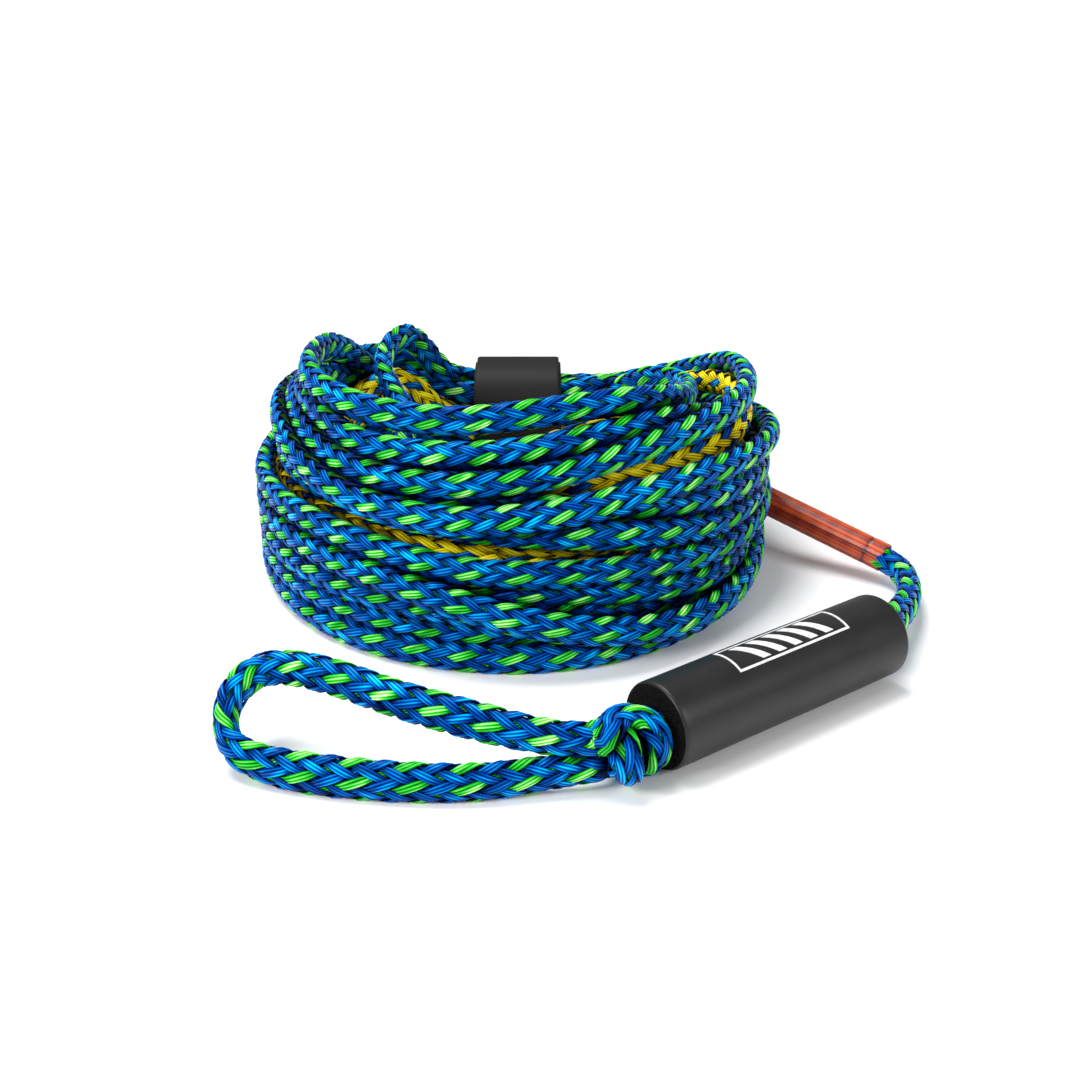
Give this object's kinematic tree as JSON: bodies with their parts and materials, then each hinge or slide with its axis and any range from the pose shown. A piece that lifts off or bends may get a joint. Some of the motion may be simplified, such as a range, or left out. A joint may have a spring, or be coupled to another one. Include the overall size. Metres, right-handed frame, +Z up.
{
  "type": "towable tube tow rope",
  "caption": "Coiled braided tow rope with a foam float, a knotted soft loop, a heat-shrink splice sleeve and a webbing keeper strap.",
  "frame": {"origin": "on the surface that the coil and the float lie on, under the middle of the whole part's box", "axes": "+Z up, +Y from the tow loop towards the strapped back of the coil, +X towards the float's far end"},
  "size_m": [0.4405, 0.5152, 0.1594],
  "materials": {
    "blue_green_rope": "sixteen-strand hollow braid, blue with bright green flecks, slight sheen",
    "yellow_rope": "sixteen-strand hollow braid, yellow with blue flecks, slight sheen",
    "heat_shrink": "dark red heat-shrink tube, satin, with the braid showing through",
    "float_foam": "closed-cell foam with a smooth satin skin and grainy cut ends",
    "strap_webbing": "black polyester webbing",
    "strap_fastener": "black hook and loop tape",
    "strap_thread": "black bonded nylon thread"
  },
  "bodies": {
    "rope": {"main_rope_coil": "blue_green_rope", "boat_rope_coil": "yellow_rope", "boat_end_eye": "yellow_rope", "lead_rope": "blue_green_rope", "spliced_rope": "blue_green_rope", "buried_tail": "blue_green_rope", "splice_sleeve": "heat_shrink", "loop_knot": "blue_green_rope", "tow_loop": "blue_green_rope", "strap_band": "strap_webbing", "strap_tab_root": "strap_webbing", "loop_patch": "strap_fastener", "strap_stitching": "strap_thread"},
    "float": {"foam_float": "float_foam"},
    "strap_tab": {"strap_tab": "strap_webbing", "hook_patch": "strap_fastener"}
  },
  "joints": [
    {"name": "float_slide", "type": "slide", "parent": "rope", "child": "float", "axis": [0.788, 0.6157, 0], "range_m": [0, 0.01]},
    {"name": "strap_tab_peel", "type": "hinge", "parent": "rope", "child": "strap_tab", "pos_m": [-0.045, 0.2548, 0.0632], "axis": [-1, 0, 0], "range_deg": [0, 110]}
  ]
}
